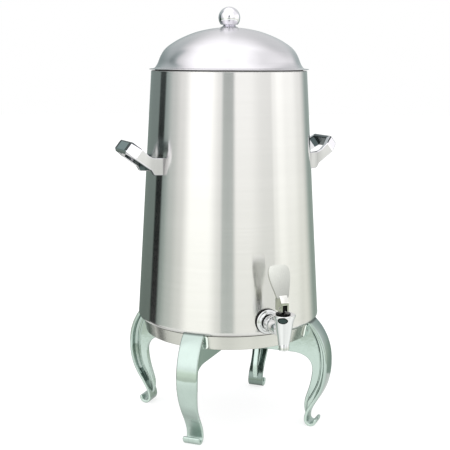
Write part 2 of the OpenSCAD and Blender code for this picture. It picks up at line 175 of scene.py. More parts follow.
def turned_steel(name, color, rough, aniso, spread=0.0):
    """Sheet steel brushed round the vertical axis."""
    m, t, p, obj = new_material(name)
    # brush lines: long round the axis, fine along it
    fine = t.noise(t.mapping(obj, (9, 9, 2600)), 1.0, 2.0, 0.6)
    mid = t.noise(t.mapping(obj, (5, 5, 520), loc=(3, 1, 7)), 1.0, 3.0, 0.6)
    broad = t.noise(t.mapping(obj, (2.2, 2.2, 60), loc=(1, 8, 2)), 1.0, 2.0, 0.5)
    cloud = t.noise(t.mapping(obj, (7, 7, 9), loc=(4, 4, 4)), 1.0, 4.0, 0.6)
    lines = t.math("ADD", t.math("MULTIPLY", fine, 0.5), t.math("MULTIPLY", mid, 0.5))
    # colour: brush lines and a slow change
    tone = t.step(lines, 0.3, 0.7, 0.97, 1.02, smooth=False)
    tone = t.math("MULTIPLY", tone, t.step(broad, 0.25, 0.75, 0.99, 1.008, smooth=False))
    tone = t.math("MULTIPLY", tone, t.step(cloud, 0.3, 0.75, 1.006, 0.988, smooth=False))
    t.put(p.inputs["Base Color"], t.scale_rgb(rgb(*color)[:3], tone))
    p.inputs["Metallic"].default_value = 1.0
    r = t.step(mid, 0.25, 0.75, rough - 0.015, rough + 0.015, smooth=False)
    r = t.math("ADD", r, t.step(cloud, 0.35, 0.75, -0.008, 0.016, smooth=False))
    t.put(p.inputs["Roughness"], r)
    p.inputs["Anisotropic"].default_value = aniso
    p.inputs["Anisotropic Rotation"].default_value = 0.25
    tan = t.add("ShaderNodeTangent", direction_type="RADIAL", axis="Z")
    t.put(p.inputs["Tangent"], tan.outputs[0])
    n = t.bump(fine, 0.025, 0.0002)
    n = t.bump(mid, 0.018 + spread, 0.0003, n)
    t.put(p.inputs["Normal"], n)
    return m


def cast_chrome(name, color, rough, wave=0.25, grain=0.5, edge_wear_and_outline=0.06, shade=None, toe_rough_and_painted_light=None, foot=None):
    """Polished plated casting: slow waviness, faint polishing haze, convex edges brighter from rubbing when the edge
    setting is above zero and darker, a painted dark outline, when it is below zero; darker in hollows, a painted shade.
    """
    m, t, p, obj = new_material(name)
    cloud = t.noise(t.mapping(obj, (34, 34, 34)), 1.0, 4.0, 0.6)
    haze = t.noise(t.mapping(obj, (120, 120, 60), loc=(2, 5, 1)), 1.0, 5.0, 0.65, 0.4)
    fine = t.noise(t.mapping(obj, (900, 900, 320), loc=(7, 2, 3)), 1.0, 3.0, 0.6)
    edge = t.add("ShaderNodeNewGeometry").outputs["Pointiness"]
    convex_edge = t.step(edge, 0.52, 0.62, 0.0, 1.0)
    hollow = t.step(edge, 0.47, 0.38, 0.0, 1.0)
    tone = t.step(cloud, 0.3, 0.7, 0.97, 1.02, smooth=False)
    tone = t.math("MULTIPLY", tone, t.step(haze, 0.3, 0.8, 1.01, 0.97, smooth=False))
    # convex edges: brighter from rubbing with a positive edge setting, darker with a negative one, a painted dark
    # outline
    tone = t.math("MULTIPLY", tone, t.step(convex_edge, 0, 1, 1.0, 1.0 + edge_wear_and_outline, smooth=False))
    # darker in hollows: painted shade; the hollows are also rougher, below
    tone = t.math("MULTIPLY", tone, t.step(hollow, 0, 1, 1.0, 0.86, smooth=False))
    if shade:
        # a tone that changes with height, tuned in place of reflections
        sep = t.add("ShaderNodeSeparateXYZ")
        t.put(sep.inputs[0], obj)
        tone = t.math("MULTIPLY", tone, t.step(sep.outputs[2], shade[0], shade[1], shade[2], 1.0, smooth=len(shade) < 4))
    if foot:
        # a darker tone near the wall, tuned in place of reflections
        sep = t.add("ShaderNodeSeparateXYZ")
        t.put(sep.inputs[0], obj)
        tone = t.math("MULTIPLY", tone, t.step(t.math("ABSOLUTE", sep.outputs[0]), foot[0], foot[1], foot[2], 1.0))
    # paler towards the floor: painted light in place of the toe's reflections
    if toe_rough_and_painted_light:
        sep = t.add("ShaderNodeSeparateXYZ")
        t.put(sep.inputs[0], obj)
        tone = t.math("MULTIPLY", tone, t.step(sep.outputs[2], toe_rough_and_painted_light[0], toe_rough_and_painted_light[1], 1.2, 1.0))
    t.put(p.inputs["Base Color"], t.scale_rgb(rgb(*color)[:3], tone))
    p.inputs["Metallic"].default_value = 1.0
    r = t.step(haze, 0.3, 0.75, rough * 0.8, rough * 1.35, smooth=False)
    r = t.math("ADD", r, t.step(hollow, 0, 1, 0.0, 0.12, smooth=False))
    if toe_rough_and_painted_light:
        # rougher and paler near the floor, tuned to soften the toe's own reflection; the paler tone is painted light
        sep = t.add("ShaderNodeSeparateXYZ")
        t.put(sep.inputs[0], obj)
        r = t.math("ADD", r, t.step(sep.outputs[2], toe_rough_and_painted_light[0], toe_rough_and_painted_light[1], toe_rough_and_painted_light[2], 0.0))
    t.put(p.inputs["Roughness"], r)
    n = t.bump(cloud, wave, 0.0006)
    n = t.bump(fine, grain * 0.05, 0.0001, n)
    t.put(p.inputs["Normal"], n)
    return m


def plain_steel(name, color, rough, aniso=0.0):
    """Machined or mill-finish steel."""
    m, t, p, obj = new_material(name)
    a = t.noise(t.mapping(obj, (40, 40, 900)), 1.0, 3.0, 0.6)
    b = t.noise(t.mapping(obj, (55, 55, 55), loc=(3, 3, 3)), 1.0, 4.0, 0.6)
    tone = t.math("MULTIPLY", t.step(a, 0.3, 0.7, 0.93, 1.03, smooth=False), t.step(b, 0.3, 0.7, 0.95, 1.03, smooth=False))
    t.put(p.inputs["Base Color"], t.scale_rgb(rgb(*color)[:3], tone))
    p.inputs["Metallic"].default_value = 1.0
    t.put(p.inputs["Roughness"], t.step(b, 0.3, 0.7, rough - 0.05, rough + 0.07, smooth=False))
    p.inputs["Anisotropic"].default_value = aniso
    t.put(p.inputs["Normal"], t.bump(a, 0.08, 0.0002))
    return m


def rubber(name, color, rough, grain=0.35, spec=0.35):
    m, t, p, obj = new_material(name)
    a = t.noise(t.mapping(obj, (1500, 1500, 1500)), 1.0, 3.0, 0.6)
    b = t.noise(t.mapping(obj, (60, 60, 60), loc=(1, 2, 3)), 1.0, 4.0, 0.6)
    tone = t.step(b, 0.3, 0.75, 0.85, 1.35, smooth=False)
    t.put(p.inputs["Base Color"], t.scale_rgb(rgb(*color)[:3], tone))
    t.put(p.inputs["Roughness"], t.step(b, 0.3, 0.7, rough - 0.06, rough + 0.08, smooth=False))
    p.inputs["Specular IOR Level"].default_value = spec
    t.put(p.inputs["Normal"], t.bump(a, grain, 0.0001))
    return m


def gloss_plastic(name, color, rough, spec=0.3):
    m, t, p, obj = new_material(name)
    p.inputs["Specular IOR Level"].default_value = spec
    a = t.noise(t.mapping(obj, (260, 260, 260)), 1.0, 4.0, 0.6)
    b = t.noise(t.mapping(obj, (90, 90, 90), loc=(5, 2, 3)), 1.0, 4.0, 0.65)
    t.put(p.inputs["Base Color"], t.scale_rgb(rgb(*color)[:3], t.step(b, 0.3, 0.7, 0.88, 1.15, smooth=False)))
    t.put(p.inputs["Roughness"], t.step(b, 0.3, 0.75, rough * 0.8, rough * 1.5, smooth=False))
    p.inputs["Coat Weight"].default_value = 0.05
    p.inputs["Coat Roughness"].default_value = 0.06
    t.put(p.inputs["Normal"], t.bump(a, 0.12, 0.0002))
    return m


MAT_BODY = turned_steel("body_steel", (0.660, 0.652, 0.640), 0.17, 1.0)
MAT_BAND = turned_steel("band_steel", (0.585, 0.585, 0.545), 0.20, 1.0)
MAT_LID = turned_steel("lid_steel", (0.655, 0.645, 0.668), 0.24, 0.80)
# In the casts below, a negative edge setting paints a dark outline along convex edges; a positive one brightens them as
# rubbing does.
MAT_LEG = cast_chrome("leg_chrome", (0.402, 0.480, 0.445), 0.06, wave=0.14, edge_wear_and_outline=-0.45, shade=(0.1778, 0.1748, 0.3), toe_rough_and_painted_light=(0.030, 0.052, 0.36))
# Zone tones of the legs, painted in place of reflections: a dark painted reflection for the grooves and the bead, a
# pale painted highlight on the mounting pad, painted shade on the heels.
MAT_LEG_PAINTED_DARK = cast_chrome("leg_painted_dark_reflection", (0.085, 0.125, 0.110), 0.14, wave=0.14, edge_wear_and_outline=0.0)
MAT_LEG_PAD_PAINTED_LIGHT = cast_chrome("leg_pad_painted_highlight", (0.85, 0.92, 0.87), 0.10, wave=0.14, edge_wear_and_outline=-0.2)
MAT_LEG_HEEL_SHADE = cast_chrome("leg_heel_painted_shade", (0.300, 0.370, 0.335), 0.16, wave=0.14, edge_wear_and_outline=-0.3)
MAT_DEEP_HEEL_SHADE = cast_chrome("deep_heel_painted_shade", (0.165, 0.210, 0.190), 0.16, wave=0.14, edge_wear_and_outline=-0.3)
# The handles' tones are painted shade and reflections: darker near the wall, a dark inside, a darker grip face and
# near-black edge lines.
MAT_HANDLE = cast_chrome("handle_chrome", (0.745, 0.735, 0.765), 0.06, wave=0.14, edge_wear_and_outline=-0.45, foot=(0.138, 0.158, 0.70))
MAT_HANDLE_IN_SHADE = cast_chrome("handle_inside_painted_shade", (0.085, 0.110, 0.115), 0.14, wave=0.2, edge_wear_and_outline=0.0)
MAT_HANDLE_GRIP_SHADE = cast_chrome("handle_grip_painted_reflection", (0.40, 0.465, 0.475), 0.12, wave=0.15, grain=1.0, edge_wear_and_outline=-0.2)
MAT_HANDLE_LINE_SHADE = cast_chrome("handle_line_painted_shade", (0.06, 0.07, 0.075), 0.25, wave=0.1, edge_wear_and_outline=0.0)
MAT_TAP = cast_chrome("tap_chrome", (0.70, 0.71, 0.71), 0.04, wave=0.08, edge_wear_and_outline=-0.3)
MAT_FLANGE = cast_chrome("flange_chrome", (0.62, 0.63, 0.63), 0.045, wave=0.10, edge_wear_and_outline=-0.4)
# The lever's tones are painted light and shade: the paddle darker towards its lower edge, its back and the block's
# slope lighter, the block's other faces darker.
MAT_PADDLE = cast_chrome("paddle_satin", (0.640, 0.655, 0.610), 0.22, wave=0.10, grain=1.0, edge_wear_and_outline=-0.2, shade=(0.250, 0.299, 0.60, 1))
MAT_PADDLE_BACK_LIT = cast_chrome("paddle_back_painted_light", (0.95, 0.97, 0.94), 0.30, wave=0.10, grain=1.0, edge_wear_and_outline=-0.1)
MAT_SLOPE_LIT = cast_chrome("lever_slope_painted_light", (0.74, 0.74, 0.71), 0.12, wave=0.10, edge_wear_and_outline=-0.2)
MAT_BLOCK_SHADE = cast_chrome("lever_block_painted_shade", (0.40, 0.42, 0.355), 0.14, wave=0.12, edge_wear_and_outline=-0.2)
MAT_BALL = cast_chrome("ball_chrome", (0.76, 0.75, 0.79), 0.03, wave=0.03)
MAT_INNER = plain_steel("inner_steel", (0.60, 0.60, 0.59), 0.34)
MAT_FAST = plain_steel("fastener_steel", (0.55, 0.55, 0.55), 0.27)
MAT_RUBBER = rubber("black_rubber", (0.004, 0.004, 0.004), 0.55, spec=0.06)
MAT_SEAM = rubber("seam_rubber", (0.045, 0.045, 0.038), 0.5, spec=0.2)
MAT_SILICONE = rubber("silicone", (0.62, 0.60, 0.57), 0.5)
MAT_BLACK = gloss_plastic("black_plastic", (0.003, 0.003, 0.003), 0.22, spec=0.10)


def oval_plug(name, centre):
    """Dark oval plug: deeper black towards its rim."""
    m, t, p, obj = new_material(name)
    off = t.add("ShaderNodeVectorMath", operation="SUBTRACT")
    t.put(off.inputs[0], obj)
    t.put(off.inputs[1], centre)
    far = t.add("ShaderNodeVectorMath", operation="LENGTH")
    t.put(far.inputs[0], t.mul_rgb(off.outputs[0], (1.0, 1.0, 1.54)))
    grain = t.noise(t.mapping(obj, (700, 700, 700)), 1.0, 3.0, 0.6)
    reach = t.math("ADD", far.outputs["Value"], t.step(grain, 0.3, 0.7, -0.0006, 0.0006, smooth=False))
    inside = t.step(reach, 0.0072, 0.0052)
    t.put(p.inputs["Base Color"], t.mix(inside, rgb(0.001, 0.002, 0.002), rgb(0.028, 0.048, 0.044)))
    t.put(p.inputs["Roughness"], t.step(grain, 0.3, 0.7, 0.24, 0.4, smooth=False))
    p.inputs["Specular IOR Level"].default_value = 0.12
    t.put(p.inputs["Normal"], t.bump(grain, 0.1, 0.0001))
    return m


def node_centre(node):
    v = [q.co for q in NODES[node].data.vertices]
    return tuple((min(c[k] for c in v) + max(c[k] for c in v)) / 2 for k in range(3))


MAT_BADGE = oval_plug("badge_plastic", node_centre("tap_badge"))


# ---------------------------------------------------------------- mesh helpers

def catmull(pts, n):
    """Points of a smooth curve through pts, n to a span."""
    pts = [np.array(p, float) for p in pts]
    out = []
    for i in range(len(pts) - 1):
        a, b, c, d = pts[max(i - 1, 0)], pts[i], pts[i + 1], pts[min(i + 2, len(pts) - 1)]
        for k in range(n):
            u = k / n
            out.append(0.5 * (2 * b + (c - a) * u + (2 * a - 5 * b + 4 * c - d) * u * u + (3 * b - a - 3 * c + d) * u ** 3))
    out.append(pts[-1])
    return np.array(out)


def even(line, n):
    """The line with n evenly spaced points."""
    s = np.concatenate([[0], np.cumsum(np.linalg.norm(np.diff(line, axis=0), axis=1))])
    t = np.linspace(0, s[-1], n)
    return np.stack([np.interp(t, s, line[:, k]) for k in range(line.shape[1])], axis=1)


def relax(line, times):
    """Smooths a line, ends kept."""
    line = line.copy()
    for _ in range(times):
        line[1:-1] = 0.25 * line[:-2] + 0.5 * line[1:-1] + 0.25 * line[2:]
    return line


def fillet(profile, radii, n=5):
    """Rounds the corners of a closed profile. radii is one number or one for each corner."""
    pts = [np.array(p, float) for p in profile]
    m = len(pts)
    if not hasattr(radii, "__len__"):
        radii = [radii] * m
    out = []
    for i in range(m):
        a, b, c = pts[i - 1], pts[i], pts[(i + 1) % m]
        u, v = a - b, c - b
        lu, lv = np.linalg.norm(u), np.linalg.norm(v)
        u, v = u / lu, v / lv
        ang = math.acos(max(-1, min(1, float(u @ v))))
        r = radii[i]
        if r <= 0 or ang > math.radians(176):
            out.append(b)
            continue
        cut = min(r / math.tan(ang / 2), 0.45 * lu, 0.45 * lv)
        r = cut * math.tan(ang / 2)
        p, q = b + u * cut, b + v * cut
        mid = (u + v) / np.linalg.norm(u + v)
        centre = b + mid * (r / math.sin(ang / 2))
        a0 = math.atan2(p[1] - centre[1], p[0] - centre[0])
        a1 = math.atan2(q[1] - centre[1], q[0] - centre[0])
        d = (a1 - a0 + math.pi) % (2 * math.pi) - math.pi
        for k in range(n + 1):
            t = a0 + d * k / n
            out.append(centre + r * np.array([math.cos(t), math.sin(t)]))
    return out


class Parts:
    """Collects several closed surfaces into one mesh, in millimetres."""

    def __init__(self):
        self.v, self.f, self.m = [], [], []

    def add(self, verts, faces, mat=0):
        base = len(self.v)
        self.v.extend([tuple(map(float, p)) for p in verts])
        self.f.extend([tuple(base + i for i in f) for f in faces])
        self.m.extend([mat] * len(faces))

    def lathe(self, profile, seg=96, matrix=None, mat=0):
        """A closed profile of (r, z) turned about Z. Points at r 0 become one vertex."""
        prof = [tuple(map(float, p)) for p in profile]
        rings, verts = [], []
        for r, z in prof:
            if r < 1e-6:
                rings.append([len(verts)])
                verts.append((0, 0, z))
            else:
                start = len(verts)
                verts.extend((r * math.cos(2 * math.pi * k / seg), r * math.sin(2 * math.pi * k / seg), z) for k in range(seg))
                rings.append(list(range(start, start + seg)))
        faces = []
        n = len(prof)
        for i in range(n):
            a, b = rings[i], rings[(i + 1) % n]
            if len(a) == 1 and len(b) == 1:
                continue
            for k in range(seg):
                k2 = (k + 1) % seg
                if len(a) == 1:
                    faces.append((a[0], b[k2], b[k]))
                elif len(b) == 1:
                    faces.append((a[k], a[k2], b[0]))
                else:
                    faces.append((a[k], a[k2], b[k2], b[k]))
        if matrix is not None:
            verts = [tuple(matrix @ Vector(p)) for p in verts]
        self.add(verts, faces, mat)

    def loft(self, sections, mat=0, closed_ends=True, strip=None):
        """Joins rings of points, all of one length, one after another. strip gives a material to each strip along."""
        n = len(sections[0])
        verts = [p for s in sections for p in s]
        faces = []
        for i in range(len(sections) - 1):
            for k in range(n):
                k2 = (k + 1) % n
                faces.append((i * n + k, i * n + k2, (i + 1) * n + k2, (i + 1) * n + k))
        if closed_ends:
            faces.append(tuple(range(n - 1, -1, -1)))
            faces.append(tuple((len(sections) - 1) * n + k for k in range(n)))
        self.add(verts, faces, mat)
        if strip:
            start = len(self.m) - len(faces)
            for i in range(len(sections) - 1):
                for k in range(n):
                    self.m[start + i * n + k] = strip(i, k, n)

    def object(self, name, mats, matrix=None, clean=True):
        me = bpy.data.meshes.new(name)
        pts = [(x * MM, y * MM, z * MM) for x, y, z in self.v]
        me.from_pydata(pts, [], self.f)
        me.update()
        for i, p in enumerate(me.polygons):
            p.material_index = self.m[i]
            p.use_smooth = True
        for m in mats:
            me.materials.append(m)
        if clean:
            bm = bmesh.new()
            bm.from_mesh(me)
            bmesh.ops.recalc_face_normals(bm, faces=bm.faces)
            bm.to_mesh(me)
            bm.free()
        if matrix is not None:
            me.transform(matrix)
            if matrix.determinant() < 0:
                me.flip_normals()
        o = bpy.data.objects.new(name, me)
        bpy.context.scene.collection.objects.link(o)
        return o


def plate(outline, thickness, bevel, segs=3, angle=40):
    """A flat plate in the X-Z plane, centred on Y, its edges rounded. Returns vertices and faces in millimetres."""
    bm = bmesh.new()
    vs = [bm.verts.new((x, -thickness / 2, z)) for x, z in outline]
    face = bm.faces.new(vs)
    r = bmesh.ops.extrude_face_region(bm, geom=[face])
    top = [g for g in r["geom"] if isinstance(g, bmesh.types.BMVert)]
    bmesh.ops.translate(bm, vec=(0, thickness, 0), verts=top)
    bmesh.ops.recalc_face_normals(bm, faces=bm.faces)
    rim = [e for e in bm.edges if abs(e.verts[0].co.y - e.verts[1].co.y) < 1e-6 and len(e.link_faces) == 2
           and e.calc_face_angle(0) > math.radians(angle)]
    if bevel:
        bmesh.ops.bevel(bm, geom=rim, offset=bevel, offset_type="OFFSET", segments=segs, profile=0.5, affect="EDGES", clamp_overlap=True)
    bm.verts.index_update()
    verts = [tuple(v.co) for v in bm.verts]
    faces = [tuple(v.index for v in f.verts) for f in bm.faces]
    bm.free()
    return verts, faces


def weighted(o):
    m = o.modifiers.new("even_normals", "WEIGHTED_NORMAL")
    m.mode = "FACE_AREA"
    m.weight = 50
    m.keep_sharp = True
    return o


def soften(node, name, mats, width, segs=3, angle=28, mat_of=None):
    """A copy of a CAD node's surface with its hard edges rounded, which stands for the node."""
    src = NODES[node]
    bm = bmesh.new()
    bm.from_mesh(src.data)
    bmesh.ops.remove_doubles(bm, verts=bm.verts, dist=2e-6)
    bmesh.ops.dissolve_degenerate(bm, dist=1e-7, edges=bm.edges)
    bmesh.ops.dissolve_limit(bm, angle_limit=math.radians(0.6), verts=bm.verts, edges=bm.edges, delimit={"NORMAL"})
    me = bpy.data.meshes.new(name)
    for f in bm.faces:
        f.smooth = True
        if mat_of:
            f.material_index = mat_of(f.calc_center_median() / MM, f.normal)
        else:
            f.material_index = 0
    for m in mats:
        me.materials.append(m)
    bm.to_mesh(me)
    bm.free()
    o = bpy.data.objects.new(name, me)
    bpy.context.scene.collection.objects.link(o)
    b = o.modifiers.new("round_edges", "BEVEL")
    b.width = width * MM
    b.segments = segs
    b.limit_method = "ANGLE"
    b.angle_limit = math.radians(angle)
    b.use_clamp_overlap = True
    b.harden_normals = True
    b.miter_outer = "MITER_ARC"
    return o


def stands_for(o, node):
    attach(o, NODES[node]["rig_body"])
    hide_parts(node)
    return o


def paint(node, mat):
    o = NODES[node]
    o.data.materials.clear()
    o.data.materials.append(mat)


# ---------------------------------------------------------------- body and small turned parts

for n in ("outer_shell",):
    paint(n, MAT_BODY)
for n in ("base_band",):
    paint(n, MAT_BAND)
for n in ("mouth_ring", "inner_vessel", "vacuum_pan", "seal_cap", "tap_sleeve", "base_plate", "lid_liner"):
    paint(n, MAT_INNER)
paint("seam_gasket", MAT_SEAM)
for n in ("lid_gasket", "tap_gasket_outer", "tap_gasket_inner", "coupling_washer"):
    paint(n, MAT_RUBBER)
for n in ("knob_screw", "knob_washer", "knob_nut", "handle_studs", "handle_setscrews", "hub_bolt", "hub_nut", "leg_screws",
          "tap_shank", "tap_locknut", "tap_spring", "lever_pin"):
    paint(n, MAT_FAST)
paint("seat_cup", MAT_SILICONE)
paint("knob_ball", MAT_BALL)
paint("tap_badge", MAT_BADGE)
for n in ("tap_body", "tap_lever", "knob_collar"):
    paint(n, MAT_TAP)
for n in ("tap_flange", "coupling_nut"):
    paint(n, MAT_FLANGE)
for n in ("handle_left", "handle_right"):
    paint(n, MAT_HANDLE)
for n in ("leg_front_left", "leg_front_right", "leg_rear_left", "leg_rear_right", "stand_hub"):
    paint(n, MAT_LEG)
paint("tap_bonnet", MAT_BLACK)
paint("tap_stem", MAT_BLACK)
paint("lid_dome", MAT_LID)


# ---------------------------------------------------------------- lid

def lid():
    out = catmull([[119.6, 583.6], [117.2, 586.6], [114.9, 591], [112.8, 597], [110.2, 602.8], [106.2, 609.5], [101, 615.2],
                   [93.6, 620.8], [82.6, 627.5], [68, 634.3], [50, 640.7], [30, 645], [14, 646.9]], 10)
    out = relax(even(out, 120), 14)
    head = catmull([[124, 582.1], [122.2, 582.35], [120.8, 582.9], [119.6, 583.6]], 6)[:-1]
    outer = np.concatenate([head, out, [[10, 647.1], [4.1, 647.2]]])
    # inside, 1.2 mm in
    d = np.gradient(outer, axis=0)
    d /= np.linalg.norm(d, axis=1)[:, None]
    inner = outer + 1.2 * np.stack([-d[:, 1], d[:, 0]], axis=1)
    inner[:, 0] = np.maximum(inner[:, 0], 4.1)
    inner = inner[(inner[:, 0] < 118.2) | (inner[:, 1] > 583)][::-1]
    inner = inner[inner[:, 1] > 582.6]
    brim = [[118, 580.4], [128.3, 580.5], [128.7, 580.65], [128.88, 580.95], [128.8, 581.3], [128.5, 581.55], [126.4, 581.85]]
    prof = brim + [list(p) for p in outer] + [list(p) for p in inner] + [[118, 582.3]]
    p = Parts()
    p.lathe(prof, 256)
    o = p.object("lid_dome_spun", [MAT_LID])
    return stands_for(weighted(o), "lid_dome")


def collar():
    line = [[4.1, 647.3], [13.9, 647.3], [14.2, 647.45], [14.2, 647.65], [13.9, 647.85]]
    line += [list(p) for p in catmull([[13.4, 648.05], [12.2, 648.4], [11.0, 649.0], [10.1, 650.0], [9.7, 651.0], [9.6, 651.6]], 5)]
    line += [[4.1, 651.6]]
    p = Parts()
    p.lathe(line, 96)
    return stands_for(weighted(p.object("knob_collar_turned", [MAT_BALL])), "knob_collar")


lid()
collar()


# ---------------------------------------------------------------- legs

def right_of(line, t):
    d = np.gradient(line, axis=0)
    d /= np.linalg.norm(d, axis=1)[:, None]
    return line + t * np.stack([d[:, 1], -d[:, 0]], axis=1), d


def leg_mesh():
    top = catmull([[147.6, 180.2], [149, 178.6], [155.4, 172], [161.4, 164.4], [166.4, 156.2], [170.6, 147.6], [174, 138], [176.6, 127],
                   [177.8, 114], [177.8, 98], [175.6, 81], [171.4, 65.6], [165.4, 52.6], [158.4, 41], [152, 30.6], [147.8, 22.4], [145.7, 15.4]], 8)
    curl = np.array([[150.4 + 5.2 * math.cos(math.radians(a)), 10.2 + 5.2 * math.sin(math.radians(a))] for a in np.arange(180, 368, 6)])
    line = relax(even(np.concatenate([top, curl]), 210), 6)
    n = len(line)
    _, d = right_of(line, 0)
    inward = np.stack([d[:, 1], -d[:, 0]], axis=1)
    zs = [-4, 4, 12, 24, 42, 58, 76, 94, 112, 200]
    ws = [14.2, 14.2, 13.8, 13.2, 13.3, 14.2, 15.8, 17.1, 17.5, 17.5]
    T, HW = 5.5, 4.5
    arc_len = np.concatenate([[0], np.cumsum(np.linalg.norm(np.diff(line, axis=0), axis=1))])
    curl_start = arc_len[np.argmin(np.abs(line[: n * 3 // 4, 1] - 24))] if n else 0

    def section(w, fil, t0=0.0, t1=T):
        """Half section (y, depth), from the middle of the outer face round to the middle of the inner one."""
        r1, r2, crown = 1.5, 1.1, 0.55
        th = t1 - t0
        r1, r2 = min(r1, th * 0.45), min(r2, th * 0.4)
        pts = []
        for y in np.linspace(0, w - r1, 9):
            pts.append((y, t0 + crown * (y / w) ** 2))
        dz = t0 + crown
        for a in np.linspace(0, 90, 6)[1:]:
            pts.append((w - r1 + r1 * math.sin(math.radians(a)), dz + r1 - r1 * math.cos(math.radians(a))))
        for a in np.linspace(0, 90, 5):
            pts.append((w - r2 + r2 * math.cos(math.radians(a)), t1 - r2 + r2 * math.sin(math.radians(a))))
        f = max(fil, 0.02)
        y0 = HW + f
        pts.append(((w - r2 + y0) / 2, t1))
        for a in np.linspace(0, 90, 8):
            pts.append((y0 - f * math.sin(math.radians(a)), t1 + f - f * math.cos(math.radians(a))))
        pts.append((HW * 0.5, t1 + f))
        pts.append((0, t1 + f))
        return pts

    sections = []
    end = arc_len[-1]
    stations = [(i, 0.0) for i in range(n)] + [(n - 1, u) for u in (0.7, 1.4, 2.0, 2.45, 2.68)]
    for i, u in stations:
        p, inn, tan = line[i], inward[i], d[i]
        w = float(np.interp(p[1], zs, ws))
        if arc_len[i] > curl_start:
            w = float(np.interp(arc_len[i], [curl_start, end], [13.2, 13.9]))
        # fillet to the web, gone at the ankle
        fil = float(np.interp(arc_len[i], [0, 12, curl_start - 16, curl_start + 6], [5.0, 5.0, 3.6, 0.02]))
        t0, t1 = 0.0, T
        if u:
            half = math.sqrt(max(0.0, 2.75 ** 2 - u * u))
            t0, t1 = 2.75 - half, 2.75 + half
            w -= 0.35 * u
        hs = section(w, fil, t0, t1)
        ring = hs + [(-y, dd) for y, dd in hs[-2:0:-1]]
        q = p + tan * u
        sections.append([(q[0] + inn[0] * dd, y, max(0.0, q[1] + inn[1] * dd)) for y, dd in ring])
    p = Parts()

    def finish(i, k, n):
        """Zones for the groove beside the web and for the heel. Their tones stand in for reflections."""
        j = min(k, n - 1 - k)
        z = line[min(i, len(line) - 1)][1]
        if z < 35 or i >= len(line) - 40:
            return 2 if j >= 14 else 0
        if j >= 17 and z < (58 if j >= 20 else 50):
            return 1
        return 3 if j >= 17 and z < 104 else 0
    p.loft(sections, strip=finish)

    # web and arm
    web = catmull([[100, 121], [112, 121], [123, 120.6], [133, 118.2], [141.4, 113.6], [147.2, 106.6], [149.8, 98.6],
                   [149.8, 90], [148, 77], [145, 64], [141, 51.6], [138.2, 41.6], [137.4, 32], [138.4, 23], [141.4, 14.6]], 5)
    web = relax(even(web, 70), 4)
    outline = [[20.1, 151.2], [20.1, 121]] + [list(q) for q in web] + [
        [143.8, 17], [144.6, 24], [147.0, 29.6], [151.0, 35.4], [157.2, 44.6], [163.8, 55.8], [169.2, 68], [173.2, 82.4], [175.4, 98.4], [175.4, 114], [174.2, 126.8],
        [171.6, 137.2], [168.2, 146.6], [164.2, 154.8], [159.4, 162.6], [153.8, 169.6], [148.5, 174.4], [142.5, 174.4], [139, 151.2]]
    v, f = plate(outline, 9.0, 1.9, 4)
    p.add(v, f)

    # raised bead along both sides of the web
    bead = catmull([[147.6, 165], [151, 158.4], [156.4, 148.6], [160.8, 137], [163.8, 124], [165.2, 110], [165.2, 96], [163.6, 82], [159.6, 68],
                    [153.4, 55], [146.8, 43], [143.4, 36]], 6)
    bead = relax(even(bead, 72), 8)
    mid, bd = right_of(bead, 1.2)
    for s in (-1, 1):
        secs = []
        for i in range(len(mid)):
            taper = min(1.0, 0.15 + min(i, len(mid) - 1 - i) / 7.0)
            secs.append([(mid[i][0] + 1.5 * taper * math.cos(a) * bd[i][1], s * (4.3 + 1.35 * taper * math.sin(a)),
                          mid[i][1] - 1.5 * taper * math.cos(a) * bd[i][0]) for a in np.linspace(0, 2 * math.pi, 17)[:-1]])
        # parts of the bead take the fourth zone tone, a painted dark reflection on the front legs
        p.loft(secs, strip=lambda i, k, n: 4 if (k < 4 and mid[i][1] < 78) or (3 < k < 8 and mid[i][1] > 126) else 0)

    # mounting pad, curved to the band
    rows, m = [], 14
    pad = [(-21, 153.4), (-21, 174.2), (21, 174.2), (21, 153.4)]

    def band_r(z):
        return 138.15 + 4 * (z - 151.5) / 22
    loop = []
    prof = fillet([(-21, 152.4), (21, 152.4), (21, 174.3), (-21, 174.3)], [5, 5, 2.2, 2.2], 6)
    prof = even(np.array([tuple(q) for q in prof] + [tuple(prof[0])]), 97)[:-1]
    rings = []
    for inset, lift in ((0.0, -1.0), (0.0, 2.0), (0.25, 2.75), (0.8, 3.15), (1.6, 3.3)):
        ring = []
        cy, cz = 0.0, 163.4
        for y, z in prof:
            k = 1 - inset / 14.0
            yy, zz = cy + (y - cy) * k, cz + (z - cz) * k
            r = band_r(zz) + lift
            r = min(r, 145.3) if lift > 0 else r
            ring.append((math.sqrt(max(0, r * r - yy * yy)), yy, zz))
        rings.append(ring)
    base = len(rings[0])
    verts = [q for ring in rings for q in ring]
    faces = []
    for i in range(len(rings) - 1):
        for k in range(base):
            k2 = (k + 1) % base
            faces.append((i * base + k, i * base + k2, (i + 1) * base + k2, (i + 1) * base + k))
    # the outer face as a strip grid from top to bottom
    last = (len(rings) - 1) * base
    centre = len(verts)
    verts.append((145.3, 0.0, 163.4))
    for k in range(base):
        faces.append((last + k, last + (k + 1) % base, centre))
    faces.append(tuple(range(base - 1, -1, -1)))
    p.add(verts, faces, 5)
    return p


LEG = leg_mesh()
